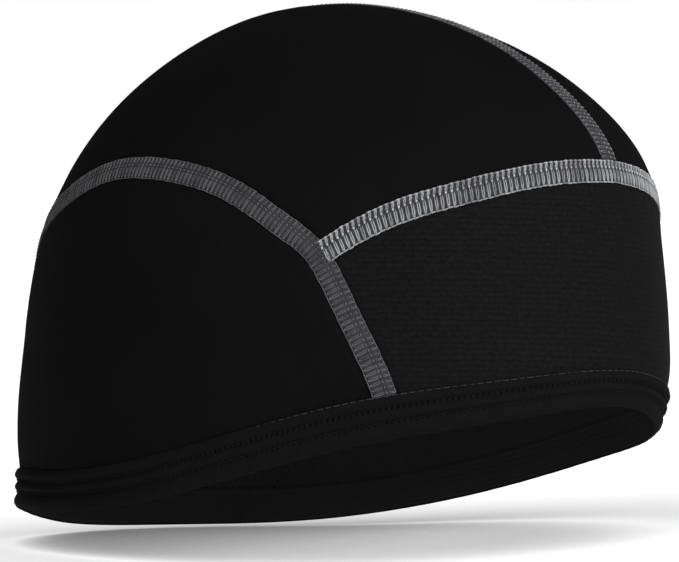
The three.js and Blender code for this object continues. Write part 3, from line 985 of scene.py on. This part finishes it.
def stitchTree():
    tree = bpy.data.node_groups.new("stitches along a path", "GeometryNodeTree")
    sockets = {}
    for title, kind in (
        ("Path", "Geometry"),
        ("Stitch", "Object"),
        ("Pitch", "Float"),
        ("Unevenness", "Float"),
        ("Seed", "Int"),
        ("Thread", "Material"),
    ):
        socket = tree.interface.new_socket(title, in_out="INPUT", socket_type="NodeSocket" + kind)
        sockets[title] = socket.identifier
    tree.interface.new_socket("Stitches", in_out="OUTPUT", socket_type="NodeSocketGeometry")
    given = newNode(tree, "NodeGroupInput").outputs
    curve = newNode(tree, "GeometryNodeMeshToCurve", {"Mesh": given["Path"]}).outputs["Curve"]
    inputs = {"Curve": curve, "Length": given["Pitch"]}
    resample = newNode(tree, "GeometryNodeResampleCurve", inputs, mode="LENGTH")
    turned = newNode(tree, "FunctionNodeAxesToRotation", primary_axis="Z", secondary_axis="X")
    for title, axis in (("outward", "Primary Axis"), ("ahead", "Secondary Axis")):
        inputs = {"Name": title}
        way = newNode(tree, "GeometryNodeInputNamedAttribute", inputs, data_type="FLOAT_VECTOR")
        setInputs(tree, turned, {axis: way.outputs["Attribute"]})
    size = newNode(tree, "FunctionNodeRandomValue", {
        2: mathNode(tree, "SUBTRACT", 1, given["Unevenness"]),
        3: mathNode(tree, "ADD", 1, given["Unevenness"]),
        "Seed": given["Seed"],
    }, data_type="FLOAT")
    stitch = newNode(tree, "GeometryNodeObjectInfo", {"Object": given["Stitch"]})
    lay = newNode(tree, "GeometryNodeInstanceOnPoints", {
        "Points": resample.outputs["Curve"],
        "Instance": stitch.outputs["Geometry"],
        "Rotation": turned.outputs["Rotation"],
        "Scale": size.outputs[1],
    })
    tone = newNode(tree, "FunctionNodeRandomValue", {"Seed": 11}, data_type="FLOAT")
    keep = newNode(tree, "GeometryNodeStoreNamedAttribute", {
        "Geometry": lay.outputs["Instances"],
        "Name": "tone",
        "Value": tone.outputs[1],
    }, data_type="FLOAT", domain="INSTANCE")
    realize = newNode(tree, "GeometryNodeRealizeInstances", {"Geometry": keep.outputs["Geometry"]})
    inputs = {"Geometry": realize.outputs["Geometry"], "Material": given["Thread"]}
    finish = newNode(tree, "GeometryNodeSetMaterial", inputs)
    newNode(tree, "NodeGroupOutput", {"Stitches": finish.outputs["Geometry"]})
    return tree, sockets


stitchNodes, stitchSockets = stitchTree()


def pathMesh(points, outward, closed):
    # a line of edges that carries its own directions
    mesh = bpy.data.meshes.new("path")
    count = len(points)
    edges = [(i, i + 1) for i in range(count - 1)]
    if closed:
        edges.append((count - 1, 0))
    mesh.from_pydata(points.tolist(), edges, [])
    ahead = (np.roll(points, -1, 0) - np.roll(points, 1, 0)) if closed else np.gradient(points, axis=0)
    ahead /= np.linalg.norm(ahead, axis=1, keepdims=True)
    for title, values in (("outward", outward), ("ahead", ahead)):
        attribute = mesh.attributes.new(title, "FLOAT_VECTOR", "POINT")
        attribute.data.foreach_set("vector", values.astype(np.float32).ravel())
    return mesh


def stitchedPiece(name, path, stitch, shape, seed, thread, closed=False):
    # path: points and outward directions; shape: strands and radius of the thread
    carrier = bpy.data.objects.new(name + "Path", pathMesh(*path, closed))
    strand = threadShape(name + "Stitch", *shape)
    for item in (carrier, strand):
        bpy.context.scene.collection.objects.link(item)
    layer = carrier.modifiers.new("stitches", "NODES")
    layer.node_group = stitchNodes
    for title, value in (
        ("Stitch", strand),
        ("Pitch", stitch["pitch"]),
        ("Unevenness", stitch["unevenness"]),
        ("Seed", seed),
        ("Thread", thread),
    ):
        layer[stitchSockets[title]] = value
    graph = bpy.context.evaluated_depsgraph_get()
    laid = carrier.evaluated_get(graph)
    mesh = bpy.data.meshes.new_from_object(laid, preserve_all_data_layers=True, depsgraph=graph)
    mesh.name = name
    piece = bpy.data.objects.new(name, mesh)
    bpy.context.scene.collection.objects.link(piece)
    carrier.modifiers.remove(layer)
    for item in (carrier, strand):
        bpy.data.objects.remove(item)
    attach(piece, "root")
    return piece


def seamMiddle(edges, lift, trim, reverse=False):
    # the middle line of a seam, cut back from its two ends, or lengthened where a trim is below nothing
    lines = []
    for edge, start, end in edges:
        step = pathLength(stretch(edge, start, end, 200)) / (end - start)
        lines.append(stretch(edge, start + trim[0] / step, end - trim[1] / step, 800))
    points, right, ahead, normal = frameAt(sum(lines) / 2)
    line = points + normal * lift
    return (line[::-1], normal[::-1]) if reverse else (line, normal)


# seam, stitch, thread, needle thread, how far it is cut back at each end, whether it runs backwards
stitchedSeams = [
    ("sideSeamRight", ladderStitch, "grey", "chain", (0.0024, 0.0024), False),
    ("sideSeamLeft", ladderStitch, "grey", "chain", (0.0024, 0.0024), True),
    ("foreheadSeam", coverStitch, "light", "pale", (-0.0003, -0.0003), False),
    ("crownSeam", ladderStitch, "grey", "bead", (0.0002, 0.0024), False),
]
threads = {}
for name, stitch, thread, needleThread, trim, reverse in stitchedSeams:
    seed = 3 + len(threads)
    path = seamMiddle(seamEdges[name], seam["raise"] * 0.5, trim, reverse)
    for ending, shape, word in (
        ("Threads", (stitch["strands"], stitch["radius"]), thread),
        ("Needles", (stitch["needle"], stitch["needleRadius"]), needleThread),
    ):
        threads[name + ending] = stitchedPiece(name + ending, path, stitch, shape, seed, finishOf[word])

ringTurn = 180 - 360 * np.arange(1600) / 1600
sunk = (np.abs(ringTurn) - edgeStitch["sunkFrom"]) / (edgeStitch["sunkAt"] - edgeStitch["sunkFrom"])
edgeLift = 0.00005 - edgeStitch["sunkBy"] * np.clip(sunk, 0, 1)[:, None]
for name, depth, above, stitch, word in (
    ("hemStitchUpper", band["stitchRows"][0], -band["groove"], bindingStitch, "black"),
    ("hemStitchLower", band["stitchRows"][1], -band["groove"], bindingStitch, "black"),
    ("hemEdgeThread", 0.03, edgeLift, edgeStitch, "edge"),
):
    points, outward = bandFrame(ringTurn, np.full_like(ringTurn, depth))
    path = (points + outward * (band["proud"] * bandProudAt(depth) + above), outward)
    shape = (stitch["strands"], stitch["radius"])
    threads[name] = stitchedPiece(name, path, stitch, shape, len(threads), finishOf[word], True)
print("threads:", {name: len(piece.data.polygons) for name, piece in threads.items()})

# Sheets: each panel is a cut sheet of knit; a table lists the seams or binding that go with each
hemThreads = [threads[name] for name in ("hemStitchUpper", "hemStitchLower", "hemEdgeThread")]
goesWith = {"crownLeft": [], "foreheadPanel": [hemBand, *hemThreads]}
for panelName, seamName in (
    ("sideRight", "sideSeamRight"),
    ("sideLeft", "sideSeamLeft"),
    ("crownRight", "crownSeam"),
    ("foreheadPanel", "foreheadSeam"),
):
    sewn = [seamPieces[seamName], threads[seamName + "Threads"], threads[seamName + "Needles"]]
    goesWith[panelName] = sewn + goesWith.get(panelName, [])


# Studio

studio = {
    "target": (0.0, 0.00982, -0.0479),
    "turn": -51.67,
    "tilt": -4.072,
    "distance": 1.8307,
    "aside": 0.01131,
    "lower": -0.03044,
    "lens": 331.9,
    "floorTilt": 6.0,
    "floorBelow": 0.1570,
    "floorLean": 4.6,
    "leanFrom": 0.0,
    "leanSoftness": 0.03,
    "floorReach": 6,  # half its size
    "floorStrips": 120,
    "floorTone": 0.12,
    # the floor's glow, and the reach and power of the ambient occlusion that dims it into a painted shadow
    # under the cap
    "floorGlow": 1.10,
    "shadeReach": 0.12,
    "shadePower": 1.45,
    "fill": 0.19,
    "key": 3.4,
    "keyBreadth": 38,
    "keyFrom": (0.62, 0.6, 1.0),
}


def viewAxes():
    turn, tilt = math.radians(studio["turn"]), math.radians(studio["tilt"])
    back = Vector((math.sin(turn) * math.cos(tilt), -math.cos(turn) * math.cos(tilt), math.sin(tilt)))
    right = Vector((math.cos(turn), math.sin(turn), 0))
    return right, back.cross(right), back


def makeCamera():
    right, up, back = viewAxes()
    data = bpy.data.cameras.new("photo camera")
    data.sensor_width = 36
    data.lens = studio["lens"]
    data.clip_start, data.clip_end = 0.05, 30
    camera = bpy.data.objects.new("photo camera", data)
    turned = Matrix((right, up, back)).transposed().to_4x4()
    where = Vector(studio["target"]) + back * studio["distance"]
    where += right * studio["aside"] + up * studio["lower"]
    camera.matrix_world = Matrix.Translation(where) @ turned
    bpy.context.scene.collection.objects.link(camera)
    bpy.context.scene.camera = camera


def makeKeyLight():
    # one broad soft light from the front right and above, placed along the camera's right, up and back
    offset = sum((axis * amount for axis, amount in zip(viewAxes(), studio["keyFrom"])), Vector())
    data = bpy.data.lights.new("key light", "SUN")
    data.energy = studio["key"]
    data.angle = math.radians(studio["keyBreadth"])
    lamp = bpy.data.objects.new("key light", data)
    lamp.matrix_world = Matrix.Translation(offset) @ offset.to_track_quat("Z", "Y").to_matrix().to_4x4()
    bpy.context.scene.collection.objects.link(lamp)


def makeFloor():
    # a shallow pale sweep that rises away from the camera and towards its right; its underside is clear.
    # Its own glow is dimmed by ambient occlusion near the cap, a painted shadow beneath it
    material, tree = newMaterial("pale floor")
    paper = newNode(tree, "ShaderNodeBsdfDiffuse", {"Color": (*[studio["floorTone"]] * 3, 1)})
    shade = newNode(tree, "ShaderNodeAmbientOcclusion", {"Distance": studio["shadeReach"]})
    paintedShadow = mathNode(tree, "POWER", shade.outputs["AO"], studio["shadePower"])
    strength = mathNode(tree, "MULTIPLY", paintedShadow, studio["floorGlow"])
    glow = newNode(tree, "ShaderNodeEmission", {"Strength": strength})
    both = newNode(tree, "ShaderNodeAddShader", {0: paper.outputs[0], 1: glow.outputs[0]})
    behind = newNode(tree, "ShaderNodeNewGeometry").outputs["Backfacing"]
    clear = newNode(tree, "ShaderNodeBsdfTransparent")
    pick = newNode(tree, "ShaderNodeMixShader", {0: behind, 1: both.outputs[0], 2: clear.outputs[0]})
    newNode(tree, "ShaderNodeOutputMaterial", {"Surface": pick.outputs[0]})
    right, up, back = viewAxes()
    away = Vector((-back.x, -back.y, 0)).normalized()
    slope = math.tan(math.radians(studio["floorTilt"]))
    lean = math.tan(math.radians(studio["floorLean"]))
    reach, strips = studio["floorReach"], studio["floorStrips"]
    corners = []
    for share in np.linspace(-1, 1, strips + 1):
        across = reach * share**3
        past = across - studio["leanFrom"]
        level = lean * (math.hypot(past, studio["leanSoftness"]) + past) / 2 - studio["floorBelow"]
        for ahead in (-reach, reach):
            corners.append(right * across + away * ahead + Vector((0, 0, level + ahead * slope)))
    faces = [(2 * i, 2 * i + 2, 2 * i + 3, 2 * i + 1) for i in range(strips)]
    mesh = bpy.data.meshes.new("floor")
    mesh.from_pydata([tuple(c) for c in corners], [], faces)
    mesh.shade_smooth()
    mesh.materials.append(material)
    floor = bpy.data.objects.new("floor", mesh)
    bpy.context.scene.collection.objects.link(floor)


def makeWorld():
    world = bpy.data.worlds.new("white studio")
    bpy.context.scene.world = world
    world.use_nodes = True
    tree = world.node_tree
    backdrop = tree.nodes["Background"]
    setInputs(tree, backdrop, {"Color": (1, 1, 1, 1), "Strength": 1.0})
    softbox = newNode(tree, "ShaderNodeBackground", {"Color": (1, 1, 1, 1), "Strength": studio["fill"]})
    seen = newNode(tree, "ShaderNodeLightPath").outputs["Is Camera Ray"]
    pick = newNode(tree, "ShaderNodeMixShader", {0: seen, 1: softbox.outputs[0], 2: backdrop.outputs[0]})
    setInputs(tree, tree.nodes["World Output"], {"Surface": pick.outputs[0]})
    bpy.context.scene.view_settings.view_transform = "Standard"
    bpy.context.scene.view_settings.look = "None"


makeCamera()
makeWorld()
makeFloor()
makeKeyLight()
print("studio ready")
